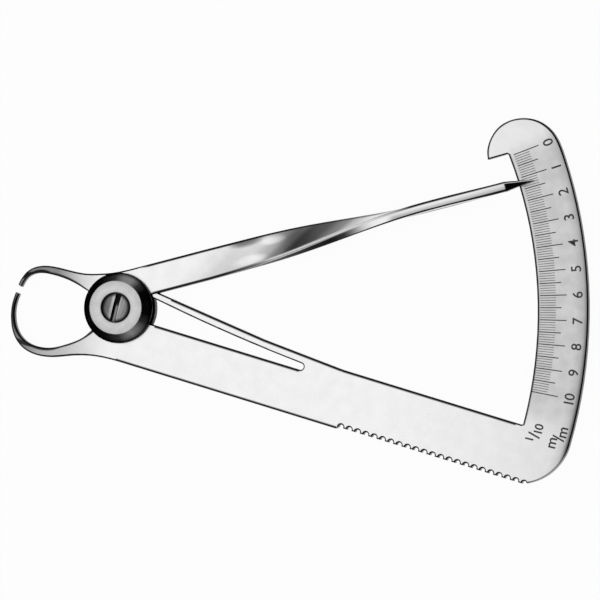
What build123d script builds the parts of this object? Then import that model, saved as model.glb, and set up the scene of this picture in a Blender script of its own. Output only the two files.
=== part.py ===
import os
from math import asin, cos, degrees, hypot, radians, sin, sqrt

from build123d import *

# Dental lever caliper. The two arms lie in one plane and are half-lapped at the pivot.
# The frame has +Z along the pivot axis towards the graduated face and +X towards the scale.
# The origin is on the pivot axis, in the flat back face of the rear disc.
# The pointer stands at its photographed reading.

# Stack along the pivot axis, from the back face up
rear_disc_thickness = 0.85
plate_thickness = 1.65
hub_washer_thickness = 0.15
front_disc_height = 2.8
disc_gap = 0.05
spring_recess_depth = 0.3

# Radii about the pivot
disc_radius = 6.15
hub_radius = 5.8
lap_clearance = 0.25
bush_radius = 2.0
running_clearance = 0.03
screw_radius = 1.25
thread_clearance = 0.02

# Bevelled front disc
disc_rim_height = 0.7
disc_top_radius = 4.65
disc_edge_radius = 0.15

# Rear disc
rear_disc_radius = 6.35
rear_rim_height = 0.45
rear_face_radius = 5.7
rear_pad_radius = 5.5

# Pivot screw
screw_head_radius = 2.45
screw_head_height = 1.2
screw_dome_height = 0.22
counterbore_clearance = 0.13
screw_end_inset = 0.1
screw_slot_width = 1.0
screw_slot_depth = 0.75
screw_slot_turn = 75.5

# Washers on the bush
washer_bore_clearance = 0.1
hub_washer_radius = 5.0
spring_washer_radius = 4.4
spring_washer_thickness = 0.1

# Graduated plate
plate_turn = -17.0
plate_lower_reach = 9.0
plate_upper_reach = 1.15
slot_reach = 1.06
arc_outer_radius = 83.5
arc_width = 9.0
arc_inner_radius = arc_outer_radius - arc_width
arc_outer_drop = 0.66
arc_inner_drop = 1.1
corner_radius = 9.2
inside_corner_radius = 0.25
edge_radius = 0.29
edge_wall_share = 0.42

# Leaf spring, sawn from the plate and bent up from it
strip_turn = -23.5
strip_reach = 5.15
strip_width = 1.22
strip_bow = 0.32
strip_taper_start = 26.0
plate_bend = 41.4
slot_end_radius = 0.57
strip_contact_gap = 0.02
strip_nose_gap = 0.35

# Graduations, a millimetre of jaw opening each
zero_turn = 20.34
millimetre_turn = 3.185
millimetre_count = 10
tenth_count = 10
mark_inset = 0.5
mark_start_radius = arc_inner_radius + mark_inset
tenth_mark_length = 2.8
half_mark_length = 3.8
whole_mark_length = 4.7
tenth_mark_width = 0.12
long_mark_width = 0.18
mark_depth = 0.06

# Serrated grip edge
notch_count = 23
notch_pitch = 1.546
notch_radius = 0.43
notch_depth = 0.57
notch_bevel = 0.25
notch_start = 43.96
grip_step = 0.4
grip_run_radius = 0.8

# Pointer arm
arm_turn = 13.9
arm_reach = 3.45
arm_width = 5.3
twist_start = 17.0
neck_gap = 3.0
neck_length = 7.6
point_length = 7.3
pointer_overlap = 2.4
pointer_length = arc_inner_radius + pointer_overlap
neck_end = pointer_length - point_length
neck_start = neck_end - neck_length
twist_length = neck_start - neck_gap - twist_start
pointer_bevel_length = 4.9
pointer_reach = 3.3
pointer_tip_reach = 3.25
pointer_plate_gap = 0.35
pointer_depth = 1.5
pointer_thickness = 1.75
pointer_tip_width = 0.14
pointer_tip_depth = 0.3
pointer_tip_rounding = 0.05
twisted_depth = 4.2
twisted_rise = 0.9

# Jaws
jaw_reach = 18.3
jaw_tip_thickness = 0.72
lower_tip_turn = 171.4
jaw_opening_turn = 4.08
jaw_face_turn = -26.0
lower_root_turn = 216.0
lower_jaw_join = 3.0
upper_jaw_join = 5.0

# The inner outlines of the jaws, from the tip to the hub, as shares of the jaw reach
upper_jaw_inner_shares = (
    (-0.931, 0.260),
    (-0.881, 0.312),
    (-0.791, 0.340),
    (-0.681, 0.328),
    (-0.533, 0.284),
    (-0.388, 0.212),
    (-0.295, 0.154),
)
lower_jaw_inner_shares = (
    (-1.019, 0.031),
    (-1.026, -0.081),
    (-0.992, -0.216),
    (-0.910, -0.313),
    (-0.786, -0.364),
    (-0.670, -0.373),
    (-0.515, -0.340),
    (-0.334, -0.260),
    (-0.262, -0.200),
)
upper_jaw_waist_shares = ((-0.231, 0.328), (-0.055, 0.339))
lower_tip_share = 1.011

# How thick each jaw is at those places, as shares of its thickness at the tip: less than zero
# where the outer side lies to the left of the run from the tip
upper_jaw_thickness_shares = (-1.063, -1.264, -1.636, -1.968, -2.233, -3.43)
lower_jaw_thickness_shares = (0.97, 1.033, 1.375, 1.81, 2.12, 2.306, 2.95, 5.85)

# How hard each curve is held to the edge it runs into
end_pulls = (1, 1)

# The hook over the zero mark, from its point round to the scale's rim: how far each place lies
# from the inner edge of the arc to the outer, and its turn about the pivot
hook_width_shares = (-0.459, -0.43, -0.283, -0.006, 0.372, 0.722, 0.928)
hook_turns = (21.05, 21.83, 23.42, 24.6, 24.56, 23.3, 21.15)
hook_root_turn = 21.55
hook_join_turn = 18.4

# The twist of the arm starts and ends gently, and the arm has risen by this share of it
rise_end_share = 0.47
section_count = 12


# Points of the straight edges, each at a turn from +X and a distance off the pivot
def edge_point(turn, reach, along):
    a = radians(turn)
    return (along * cos(a) - reach * sin(a), along * sin(a) + reach * cos(a))


def edge_at_radius(turn, reach, radius):
    return edge_point(turn, reach, sqrt(radius**2 - reach**2))


def edge_crossing(turn_a, reach_a, turn_b, reach_b):
    a, b = radians(turn_a), radians(turn_b)
    along = (reach_b - reach_a * cos(a - b)) / sin(a - b)
    return edge_point(turn_a, reach_a, along)


def polar_point(radius, turn):
    return (radius * cos(radians(turn)), radius * sin(radians(turn)))


def scaled(shares, size):
    return [(x * size, y * size) for x, y in shares]


def direction(turn):
    return (cos(radians(turn)), sin(radians(turn)))


def along_edge(turn, point):
    return point[0] * cos(radians(turn)) + point[1] * sin(radians(turn))


def mix(low, high, share):
    return low + (high - low) * share


def point_between(a, b, share):
    return (mix(a[0], b[0], share), mix(a[1], b[1], share))


def turned_point(centre, radius, turn):
    return (centre[0] + radius * cos(radians(turn)), centre[1] + radius * sin(radians(turn)))


# Where a line along the plate, this far off an arc's centre, meets the arc
def turn_at_reach(reach, radius):
    return plate_turn + degrees(asin(reach / radius))


# Places on the outer side of a jaw, square to its inner outline
def outer_side(start, inner, thickness_shares):
    found = []
    for before, here, after, share in zip([start, *inner], inner, inner[1:], thickness_shares):
        run = (after[0] - before[0], after[1] - before[1])
        reach = share * jaw_tip_thickness / hypot(*run)
        found.append((here[0] + run[1] * reach, here[1] - run[0] * reach))
    return found


# Levels of the stack
plate_back = rear_disc_thickness
plate_front = plate_back + plate_thickness
rear_lap_top = plate_back + (plate_thickness - hub_washer_thickness) / 2
front_lap_bottom = rear_lap_top + hub_washer_thickness
disc_bottom = plate_front + disc_gap
disc_top = disc_bottom + front_disc_height
recess_top = disc_bottom + spring_recess_depth
screw_seat = disc_top - screw_head_height - screw_dome_height
shoulder_radius = hub_radius + lap_clearance
hub_bore_radius = bush_radius + running_clearance
upper_tip_turn = lower_tip_turn - jaw_opening_turn
upper_face_turn = jaw_face_turn - jaw_opening_turn

os.makedirs("parts", exist_ok=True)

# Places where the plate's edges meet
grip_reach = plate_lower_reach - grip_step
outer_arc_centre = (0, -arc_outer_drop)
inner_arc_centre = (0, -arc_inner_drop)
corner_reach = arc_outer_radius - corner_radius
corner_turn = turn_at_reach(arc_outer_drop * cos(radians(plate_turn)), corner_reach)
corner_centre = turned_point(outer_arc_centre, corner_reach, corner_turn)
corner_out = turned_point(corner_centre, corner_radius, corner_turn)
corner_half_chord = sqrt(corner_radius**2 - grip_reach**2)
corner_end = edge_point(
    plate_turn, -grip_reach, along_edge(plate_turn, corner_centre) + corner_half_chord
)
corner_middle = turned_point(corner_centre, corner_radius, plate_turn - 45)
inner_turn = turn_at_reach(
    plate_upper_reach + arc_inner_drop * cos(radians(plate_turn)), arc_inner_radius
)
inner_corner = turned_point(inner_arc_centre, arc_inner_radius, inner_turn)
strip_lower_reach = strip_reach - strip_width
slot_end = edge_crossing(
    plate_turn,
    slot_end_radius - slot_reach,
    strip_turn,
    strip_lower_reach - slot_end_radius,
)
slot_end_along = along_edge(strip_turn, slot_end)
root_low = edge_point(strip_turn, strip_lower_reach, slot_end_along)
taper_point = edge_point(strip_turn, strip_reach, strip_taper_start)
bend = edge_point(plate_turn, plate_upper_reach, plate_bend)
root_high = point_between(
    taper_point,
    bend,
    (slot_end_along - strip_taper_start) / (along_edge(strip_turn, bend) - strip_taper_start),
)
slot_low = turned_point(slot_end, slot_end_radius, plate_turn - 90)
slot_far = turned_point(slot_end, slot_end_radius, plate_turn)
slot_mouth = edge_at_radius(plate_turn, -slot_reach, shoulder_radius)

rim_radius = min(edge_radius, edge_wall_share * jaw_tip_thickness)


# Upright edges of a plate at the corners of its outline
def corner_edges(part, corners):
    upright = part.edges().filter_by(Axis.Z)
    return [
        e
        for e in upright
        if min(hypot((e @ 0.5).X - x, (e @ 0.5).Y - y) for x, y in corners) < edge_radius
    ]


# Edges round the two flat faces of a plate, outside the hub and away from where it joins on
def rim_edges(part, joins):
    found = part.faces().filter_by(Axis.Z).edges()
    outside = [e for e in found if hypot((e @ 0.5).X, (e @ 0.5).Y) > shoulder_radius]
    for x, y in joins:
        outside = [
            e for e in outside if hypot((e @ 0.5).X - x, (e @ 0.5).Y - y) > edge_radius
        ]
    return outside


def middle(a, b):
    return point_between(a, b, 0.5)


# Scale arm: lower jaw, rear half of the hub, plate, arc and hook
lower_tip = polar_point(lower_tip_share * jaw_reach, lower_tip_turn)
lower_out = turned_point(lower_tip, -jaw_tip_thickness / 2, jaw_face_turn)
lower_in = turned_point(lower_tip, jaw_tip_thickness / 2, jaw_face_turn)
lower_inner = scaled(lower_jaw_inner_shares, jaw_reach)
lower_outer = outer_side(lower_in, lower_inner, lower_jaw_thickness_shares)
jaw_end = edge_point(plate_turn, -plate_lower_reach, lower_jaw_join)
step_high = edge_point(plate_turn, -grip_reach, notch_start)
notch_reach = notch_depth - notch_radius - grip_reach
run_in = edge_point(plate_turn, -plate_lower_reach, notch_start - 2 * notch_radius)
notch_top = edge_point(plate_turn, notch_depth - grip_reach, notch_start)
notch_mouth = edge_point(plate_turn, -plate_lower_reach, notch_start)
notch_places = [
    edge_point(plate_turn, notch_reach, notch_start + i * notch_pitch) for i in range(notch_count)
]
notch_flare = notch_radius + notch_bevel
above = (Align.CENTER, Align.CENTER, Align.MAX)
below = (Align.CENTER, Align.CENTER, Align.MIN)
rim_end = turned_point(outer_arc_centre, arc_outer_radius, hook_join_turn)
rim_middle = turned_point(
    outer_arc_centre, arc_outer_radius, (plate_turn + hook_join_turn) / 2
)
hook_outline = [
    polar_point(mix(arc_inner_radius, arc_outer_radius, share), turn)
    for share, turn in zip(hook_width_shares, hook_turns)
]
hook_point = hook_outline[0]
hook_root = turned_point(inner_arc_centre, arc_inner_radius, hook_root_turn)
arc_middle = turned_point(
    inner_arc_centre, arc_inner_radius, (plate_turn + hook_root_turn) / 2
)

with BuildPart() as scale_arm:
    with BuildSketch(Plane.XY.offset(plate_back)):
        with BuildLine():
            Spline(
                lower_out,
                *lower_outer,
                jaw_end,
                tangents=[direction(jaw_face_turn - 86), direction(plate_turn)],
                tangent_scalars=end_pulls,
            )
            Polyline(jaw_end, run_in, step_high, corner_end)
            ThreePointArc(corner_end, corner_middle, corner_out)
            ThreePointArc(corner_out, rim_middle, rim_end)
            Spline(
                rim_end,
                *reversed(hook_outline),
                tangents=[direction(hook_join_turn + 90), direction(plate_turn - 70)],
                tangent_scalars=end_pulls,
            )
            Line(hook_point, hook_root)
            ThreePointArc(hook_root, arc_middle, inner_corner)
            Polyline(inner_corner, bend, root_high, root_low)
            ThreePointArc(root_low, slot_far, slot_low)
            Polyline(slot_low, slot_mouth, lower_inner[-1])
            Spline(
                *reversed(lower_inner),
                lower_in,
                tangents=[direction(lower_root_turn), direction(jaw_face_turn + 94)],
                tangent_scalars=end_pulls,
            )
            Line(lower_in, lower_out)
        make_face()
    extrude(amount=plate_thickness)
    fillet(corner_edges(scale_arm, [inner_corner, hook_root]), inside_corner_radius)
    fillet(corner_edges(scale_arm, [run_in, step_high]), grip_run_radius)
    joins = [middle(root_high, root_low), lower_tip]
    fillet(rim_edges(scale_arm, joins), rim_radius)
    with BuildSketch(Plane.XY.offset(rear_lap_top)):
        Circle(shoulder_radius)
    extrude(amount=plate_thickness, mode=Mode.SUBTRACT)
    with BuildSketch(Plane.XY.offset(plate_back)):
        Circle(hub_radius)
    extrude(amount=rear_lap_top - plate_back)
    with BuildSketch(Plane.XY.offset(plate_back)):
        Circle(hub_bore_radius)
    extrude(amount=plate_thickness, mode=Mode.SUBTRACT)
    with BuildSketch(Plane.XY.offset(plate_back)):
        with BuildLine():
            Polyline(run_in, notch_top, notch_mouth, close=True)
        make_face()
        for x, y in notch_places:
            with Locations(Location((x, y, 0), (0, 0, plate_turn))):
                Circle(notch_radius)
                Rectangle(2 * notch_radius, notch_depth, align=(Align.CENTER, Align.MAX))
    extrude(amount=plate_thickness, mode=Mode.SUBTRACT)
    with Locations(*[(*place, plate_front) for place in notch_places]):
        Cone(notch_radius, notch_flare, notch_bevel, align=above, mode=Mode.SUBTRACT)
    with Locations(*[(*place, plate_back) for place in notch_places]):
        Cone(notch_flare, notch_radius, notch_bevel, align=below, mode=Mode.SUBTRACT)
    with BuildSketch(Plane.XY.offset(plate_front)):
        for i in range(millimetre_count * tenth_count + 1):
            turn = zero_turn - i * millimetre_turn / tenth_count
            if i % tenth_count == 0:
                length, width = whole_mark_length, long_mark_width
            elif i % (tenth_count // 2) == 0:
                length, width = half_mark_length, long_mark_width
            else:
                length, width = tenth_mark_length, tenth_mark_width
            x, y = polar_point(mark_start_radius + length / 2, turn)
            with Locations(Location((x, y, 0), (0, 0, turn))):
                Rectangle(length, width)
    extrude(amount=-mark_depth, mode=Mode.SUBTRACT)

scale_arm.part.label = "scale_arm"
export_step(scale_arm.part, "parts/scale_arm.step")

# Leaf spring, from its root beyond the slot to its nose against the pointer arm
arm_lower_reach = arm_reach - arm_width / 2
arm_upper_reach = arm_reach + arm_width / 2
contact_reach = arm_lower_reach - strip_contact_gap
nose_high = edge_crossing(arm_turn, contact_reach, strip_turn, strip_reach)
nose_radius = shoulder_radius + strip_nose_gap
nose_inner = edge_at_radius(arm_turn, contact_reach, nose_radius)
nose_low = edge_at_radius(strip_turn, strip_lower_reach, nose_radius)
nose_width = hypot(nose_inner[0] - nose_low[0], nose_inner[1] - nose_low[1])
bow_along = (slot_end_along + along_edge(strip_turn, nose_low)) / 2
bow_point = edge_point(strip_turn, strip_lower_reach - strip_bow, bow_along)

with BuildPart() as leaf_spring:
    with BuildSketch(Plane.XY.offset(plate_back)):
        with BuildLine():
            Polyline(root_low, root_high, taper_point, nose_high, nose_inner, nose_low)
            ThreePointArc(nose_low, bow_point, root_low)
        make_face()
    extrude(amount=plate_thickness)
    rims = rim_edges(leaf_spring, [middle(root_high, root_low)])
    strip_rims = [e for e in rims if e.length > strip_width]
    fillet(strip_rims, min(rim_radius, edge_wall_share * nose_width))

leaf_spring.part.label = "leaf_spring"
export_step(leaf_spring.part, "parts/leaf_spring.step")


# Pointer arm: upper jaw, front half of the hub, flat handle, quarter twist and pointer
plate_middle = plate_back + plate_thickness / 2
pointer_bottom = plate_front + pointer_plate_gap
pointer_middle = pointer_bottom + pointer_depth / 2
bevel_start = pointer_length - pointer_bevel_length
twist_end = twist_start + twist_length
twisted_middle = plate_middle + twisted_rise


def arm_plane(along, turn, reach, level):
    x, y = edge_point(arm_turn, reach, along)
    across = direction(arm_turn + 90)
    t = radians(turn)
    width_direction = (cos(t) * across[0], cos(t) * across[1], -sin(t))
    return Plane(
        origin=(x, y, level), x_dir=width_direction, z_dir=(*direction(arm_turn), 0)
    )


upper_tip = polar_point(jaw_reach, upper_tip_turn)
upper_out = turned_point(upper_tip, -jaw_tip_thickness / 2, upper_face_turn)
upper_in = turned_point(upper_tip, jaw_tip_thickness / 2, upper_face_turn)
upper_inner = scaled(upper_jaw_inner_shares, jaw_reach)
upper_outer = outer_side(upper_in, upper_inner, upper_jaw_thickness_shares)
upper_outer += scaled(upper_jaw_waist_shares, jaw_reach)
arm_high = edge_point(arm_turn, arm_upper_reach, upper_jaw_join)
arm_end_high = edge_point(arm_turn, arm_upper_reach, twist_start)
arm_end_low = edge_point(arm_turn, arm_lower_reach, twist_start)
arm_low = edge_at_radius(arm_turn, arm_lower_reach, shoulder_radius)

with BuildPart() as pointer_arm:
    with BuildSketch(Plane.XY.offset(plate_back)):
        with BuildLine():
            Spline(
                upper_out,
                *upper_outer,
                arm_high,
                tangents=[direction(upper_face_turn + 102), direction(arm_turn)],
                tangent_scalars=end_pulls,
            )
            Polyline(arm_high, arm_end_high, arm_end_low, arm_low, upper_inner[-1])
            Spline(
                *reversed(upper_inner),
                upper_in,
                tangents=[direction(upper_tip_turn - 17), direction(upper_face_turn - 86)],
                tangent_scalars=end_pulls,
            )
            Line(upper_in, upper_out)
        make_face()
    extrude(amount=plate_thickness)
    joins = [middle(arm_end_high, arm_end_low), upper_tip]
    fillet(rim_edges(pointer_arm, joins), rim_radius)
    with BuildSketch(Plane.XY.offset(plate_back)):
        Circle(shoulder_radius)
    extrude(amount=front_lap_bottom - plate_back, mode=Mode.SUBTRACT)
    with BuildSketch(Plane.XY.offset(front_lap_bottom)):
        Circle(hub_radius)
    extrude(amount=plate_front - front_lap_bottom)
    with BuildSketch(Plane.XY.offset(plate_back)):
        Circle(hub_bore_radius)
    extrude(amount=plate_thickness, mode=Mode.SUBTRACT)
    for i in range(section_count):
        share = i / (section_count - 1)
        along = mix(twist_start, twist_end, share)
        level = mix(plate_middle, twisted_middle, min(1, share / rise_end_share))
        width = mix(arm_width, twisted_depth, share)
        turn = 90 * sin(radians(90 * share)) ** 2
        with BuildSketch(arm_plane(along, turn, arm_reach, level)):
            RectangleRounded(width, plate_thickness, rim_radius)
    loft()
    for along in (twist_end, neck_start):
        with BuildSketch(arm_plane(along, 90, arm_reach, twisted_middle)):
            RectangleRounded(twisted_depth, plate_thickness, rim_radius)
    for along in (neck_end, bevel_start):
        with BuildSketch(arm_plane(along, 90, pointer_reach, pointer_middle)):
            RectangleRounded(pointer_depth, pointer_thickness, edge_radius)
    with BuildSketch(arm_plane(pointer_length, 90, pointer_tip_reach, pointer_middle)):
        RectangleRounded(pointer_depth, pointer_tip_width, pointer_tip_rounding)
    loft(ruled=True)
    bevel_plane = Plane(
        origin=(0, 0, 0), x_dir=(*direction(arm_turn), 0), z_dir=(*direction(arm_turn - 90), 0)
    )
    with BuildSketch(bevel_plane):
        with BuildLine():
            Polyline(
                (bevel_start, pointer_bottom + pointer_depth),
                (pointer_length, pointer_bottom + pointer_tip_depth),
                (pointer_length, pointer_bottom + pointer_depth),
                close=True,
            )
        make_face()
    extrude(amount=arm_width, both=True, mode=Mode.SUBTRACT)

pointer_arm.part.label = "pointer_arm"
export_step(pointer_arm.part, "parts/pointer_arm.step")

# Front disc: cylindrical rim, bevel, flat top, counterbore and the recess for the washer
bore_radius = screw_radius + running_clearance
counterbore_radius = screw_head_radius + counterbore_clearance
recess_radius = spring_washer_radius + spring_recess_depth
rim_top = disc_bottom + disc_rim_height

with BuildPart() as front_disc:
    with BuildSketch(Plane.XZ):
        with BuildLine():
            Polyline(
                (bore_radius, recess_top),
                (recess_radius, recess_top),
                (recess_radius, disc_bottom),
                (disc_radius, disc_bottom),
                (disc_radius, rim_top),
                (disc_top_radius, disc_top),
                (counterbore_radius, disc_top),
                (counterbore_radius, screw_seat),
                (bore_radius, screw_seat),
                close=True,
            )
        make_face()
    revolve(axis=Axis.Z)
    circles = front_disc.edges().filter_by(GeomType.CIRCLE)
    rounded = circles.group_by(Axis.Z)[-1] + circles.filter_by(
        lambda e: e.radius > (disc_radius + recess_radius) / 2
    )
    fillet(rounded, disc_edge_radius)

front_disc.part.label = "front_disc"
export_step(front_disc.part, "parts/front_disc.step")

# Rear disc: flat back, bevelled rim and a raised pad that the scale arm lies on
thread_radius = screw_radius + thread_clearance
rear_rim_top = rear_disc_thickness - disc_gap

with BuildPart() as rear_disc:
    with BuildSketch(Plane.XZ):
        with BuildLine():
            Polyline(
                (thread_radius, 0),
                (rear_face_radius, 0),
                (rear_disc_radius, rear_rim_top - rear_rim_height),
                (rear_disc_radius, rear_rim_top),
                (rear_pad_radius, rear_rim_top),
                (rear_pad_radius, rear_disc_thickness),
                (thread_radius, rear_disc_thickness),
                close=True,
            )
        make_face()
    revolve(axis=Axis.Z)

rear_disc.part.label = "rear_disc"
export_step(rear_disc.part, "parts/rear_disc.step")

# Pivot screw: shank, and a slotted head with a shallow dome
dome_radius = (screw_dome_height**2 + screw_head_radius**2) / (2 * screw_dome_height)
half_radius = screw_head_radius / 2
dome_middle = disc_top - dome_radius + sqrt(dome_radius**2 - half_radius**2)

with BuildPart() as pivot_screw:
    with BuildSketch(Plane.XZ):
        with BuildLine():
            Polyline(
                (0, disc_top),
                (0, screw_end_inset),
                (screw_radius, screw_end_inset),
                (screw_radius, screw_seat),
                (screw_head_radius, screw_seat),
                (screw_head_radius, disc_top - screw_dome_height),
            )
            ThreePointArc(
                (screw_head_radius, disc_top - screw_dome_height),
                (half_radius, dome_middle),
                (0, disc_top),
            )
        make_face()
    revolve(axis=Axis.Z)
    with BuildSketch(Plane.XY.offset(disc_top)):
        Rectangle(disc_radius, screw_slot_width, rotation=screw_slot_turn)
    extrude(amount=-screw_slot_depth, mode=Mode.SUBTRACT)

pivot_screw.part.label = "pivot_screw"
export_step(pivot_screw.part, "parts/pivot_screw.step")

# Bush between the two discs, which both arms turn on
with BuildPart() as pivot_bush:
    with BuildSketch(Plane.XY.offset(plate_back)):
        Circle(bush_radius)
        Circle(bore_radius, mode=Mode.SUBTRACT)
    extrude(amount=recess_top - plate_back)

pivot_bush.part.label = "pivot_bush"
export_step(pivot_bush.part, "parts/pivot_bush.step")

# Flat washer between the two halves of the hub
washer_bore_radius = bush_radius + washer_bore_clearance

with BuildPart() as hub_washer:
    with BuildSketch(Plane.XY.offset(rear_lap_top)):
        Circle(hub_washer_radius)
        Circle(washer_bore_radius, mode=Mode.SUBTRACT)
    extrude(amount=hub_washer_thickness)

hub_washer.part.label = "hub_washer"
export_step(hub_washer.part, "parts/hub_washer.step")

# Dished washer between the pointer arm's hub and the front disc
with BuildPart() as spring_washer:
    with BuildSketch(Plane.XZ):
        with BuildLine():
            Polyline(
                (washer_bore_radius, recess_top - spring_washer_thickness),
                (washer_bore_radius, recess_top),
                (spring_washer_radius, plate_front + spring_washer_thickness),
                (spring_washer_radius, plate_front),
                close=True,
            )
        make_face()
    revolve(axis=Axis.Z)

spring_washer.part.label = "spring_washer"
export_step(spring_washer.part, "parts/spring_washer.step")
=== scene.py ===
import math

import bmesh
import bpy
from mathutils import Matrix, Vector


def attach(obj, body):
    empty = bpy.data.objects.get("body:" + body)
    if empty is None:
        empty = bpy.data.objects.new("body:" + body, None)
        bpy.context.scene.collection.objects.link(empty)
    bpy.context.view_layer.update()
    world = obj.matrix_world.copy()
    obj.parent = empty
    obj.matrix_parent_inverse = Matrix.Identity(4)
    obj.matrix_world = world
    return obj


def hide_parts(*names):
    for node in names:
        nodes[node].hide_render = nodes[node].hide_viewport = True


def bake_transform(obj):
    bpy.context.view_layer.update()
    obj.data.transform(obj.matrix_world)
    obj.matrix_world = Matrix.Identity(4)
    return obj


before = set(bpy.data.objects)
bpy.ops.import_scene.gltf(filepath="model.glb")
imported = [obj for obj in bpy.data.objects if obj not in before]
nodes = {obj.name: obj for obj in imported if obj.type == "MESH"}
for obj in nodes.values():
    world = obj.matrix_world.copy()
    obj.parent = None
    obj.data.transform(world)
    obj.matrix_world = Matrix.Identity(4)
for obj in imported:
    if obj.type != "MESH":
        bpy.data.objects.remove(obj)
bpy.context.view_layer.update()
mm = 0.001
print("frame loaded:", sorted(nodes))

# Where the camera stands: it looks down on the scale face, tilted a little to the right
cameraSet = {
    "tiltRight": 12.9,
    "tiltDown": 1.8,
    "imageWidth": 104.58 * mm,
    "aimRight": 31.51 * mm,
    "aimUp": 1.39 * mm,
    "aimHeight": 2.5 * mm,
    "distance": 2.6,
    "sensor": 36.0,
    "clip": (0.1, 30.0),
}

tiltRight = math.radians(cameraSet["tiltRight"])
tiltDown = math.radians(cameraSet["tiltDown"])
towardsCamera = Vector((
    math.sin(tiltRight) * math.cos(tiltDown),
    -math.sin(tiltDown),
    math.cos(tiltRight) * math.cos(tiltDown),
))
imageRight = Vector((math.cos(tiltRight), 0, -math.sin(tiltRight)))
imageUp = towardsCamera.cross(imageRight)

cameraData = bpy.data.cameras.new("camera")
cameraData.sensor_width = cameraSet["sensor"]
cameraData.lens = cameraSet["sensor"] * cameraSet["distance"] / cameraSet["imageWidth"]
cameraData.clip_start, cameraData.clip_end = cameraSet["clip"]
camera = bpy.data.objects.new("camera", cameraData)
bpy.context.scene.collection.objects.link(camera)
aim = Vector((0, 0, cameraSet["aimHeight"]))
aim += imageRight * cameraSet["aimRight"] + imageUp * cameraSet["aimUp"]
turn = Matrix((imageRight, imageUp, towardsCamera)).transposed()
stand = aim + towardsCamera * cameraSet["distance"]
camera.matrix_world = Matrix.Translation(stand) @ turn.to_4x4()
bpy.context.scene.camera = camera
print("camera set, lens", round(cameraData.lens))


# Small helpers for building node trees
def addNode(tree, kind, inputs=None, **settings):
    node = tree.nodes.new(kind)
    for name, value in settings.items():
        setattr(node, name, value)
    for name, value in (inputs or {}).items():
        node.inputs[name].default_value = value
    return node


def feed(tree, socket, value):
    if isinstance(value, (int, float, tuple)):
        socket.default_value = value
    else:
        tree.links.new(value, socket)


def calculate(tree, operation, first, second=0.0, clamp=False):
    node = addNode(tree, "ShaderNodeMath", operation=operation, use_clamp=clamp)
    feed(tree, node.inputs[0], first)
    feed(tree, node.inputs[1], second)
    return node.outputs[0]


def both(tree, *masks):
    result = masks[0]
    for mask in masks[1:]:
        result = calculate(tree, "MULTIPLY", result, mask)
    return result


# 0 where the value is at the first end and 1 at the second, smooth in between
def fade(tree, value, first, second):
    node = addNode(tree, "ShaderNodeMapRange", interpolation_type="SMOOTHSTEP")
    feed(tree, node.inputs["Value"], value)
    feed(tree, node.inputs["From Min"], first)
    feed(tree, node.inputs["From Max"], second)
    return node.outputs[0]


# Spreads a value from one range over another
def stretch(tree, value, fromRange, toRange=(0.0, 1.0)):
    ends = dict(zip(("From Min", "From Max", "To Min", "To Max"), (*fromRange, *toRange)))
    node = addNode(tree, "ShaderNodeMapRange", ends)
    tree.links.new(value, node.inputs["Value"])
    return node.outputs[0]


# Tones are written as the grey level that they show on a screen, from 0 to 255
def grey(level):
    value = (level / 255) ** 2.2
    return (value, value, value, 1)


# A tone that changes with a value: each stop is a place and the grey level there
def toneOver(tree, value, stops, interpolation="LINEAR"):
    first, last = stops[0][0], stops[-1][0]
    node = addNode(tree, "ShaderNodeValToRGB")
    node.color_ramp.interpolation = interpolation
    elements = node.color_ramp.elements
    while len(elements) < len(stops):
        elements.new(0.5)
    for element, (position, level) in zip(elements, stops):
        element.position = (position - first) / (last - first)
        element.color = grey(level)
    tree.links.new(stretch(tree, value, (first, last)), node.inputs[0])
    return node.outputs[0]


def mixColour(tree, factor, low, high, blend="MIX"):
    node = addNode(tree, "ShaderNodeMix", data_type="RGBA", blend_type=blend)
    for index, value in ((0, factor), (6, low), (7, high)):
        feed(tree, node.inputs[index], value)
    return node.outputs[2]


def newGroup(name, inputs, outputs):
    tree = bpy.data.node_groups.new(name, "ShaderNodeTree")
    for label, kind, value in inputs:
        socket = tree.interface.new_socket(label, in_out="INPUT", socket_type=kind)
        socket.default_value = value
    for label, kind in outputs:
        tree.interface.new_socket(label, in_out="OUTPUT", socket_type=kind)
    return tree, tree.nodes.new("NodeGroupInput"), tree.nodes.new("NodeGroupOutput")


def floatSockets(labels):
    return [(label, "NodeSocketFloat") for label in labels]


# Place on the part: distance from the pivot, bearing in degrees, and the three coordinates
def makePartPlace():
    labels = ("X", "Y", "Z", "Radius", "Bearing")
    tree, given, result = newGroup("partPlace", [], floatSockets(labels))
    place = addNode(tree, "ShaderNodeTexCoord")
    split = addNode(tree, "ShaderNodeSeparateXYZ")
    tree.links.new(place.outputs["Object"], split.inputs[0])
    flat = addNode(tree, "ShaderNodeCombineXYZ")
    for label in ("X", "Y"):
        tree.links.new(split.outputs[label], flat.inputs[label])
    length = addNode(tree, "ShaderNodeVectorMath", operation="LENGTH")
    tree.links.new(flat.outputs[0], length.inputs[0])
    bearing = calculate(tree, "ARCTAN2", split.outputs["Y"], split.outputs["X"])
    for label in ("X", "Y", "Z"):
        tree.links.new(split.outputs[label], result.inputs[label])
    tree.links.new(length.outputs["Value"], result.inputs["Radius"])
    tree.links.new(calculate(tree, "DEGREES", bearing), result.inputs["Bearing"])
    return tree


# Direction that the surface faces, before any pose
def makePartNormal():
    labels = ("X", "Y", "Z", "Upright")
    tree, given, result = newGroup("partNormal", [], floatSockets(labels))
    place = addNode(tree, "ShaderNodeTexCoord")
    split = addNode(tree, "ShaderNodeSeparateXYZ")
    tree.links.new(place.outputs["Normal"], split.inputs[0])
    for label in ("X", "Y", "Z"):
        tree.links.new(split.outputs[label], result.inputs[label])
    tree.links.new(calculate(tree, "ABSOLUTE", split.outputs["Z"]), result.inputs["Upright"])
    return tree


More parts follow.
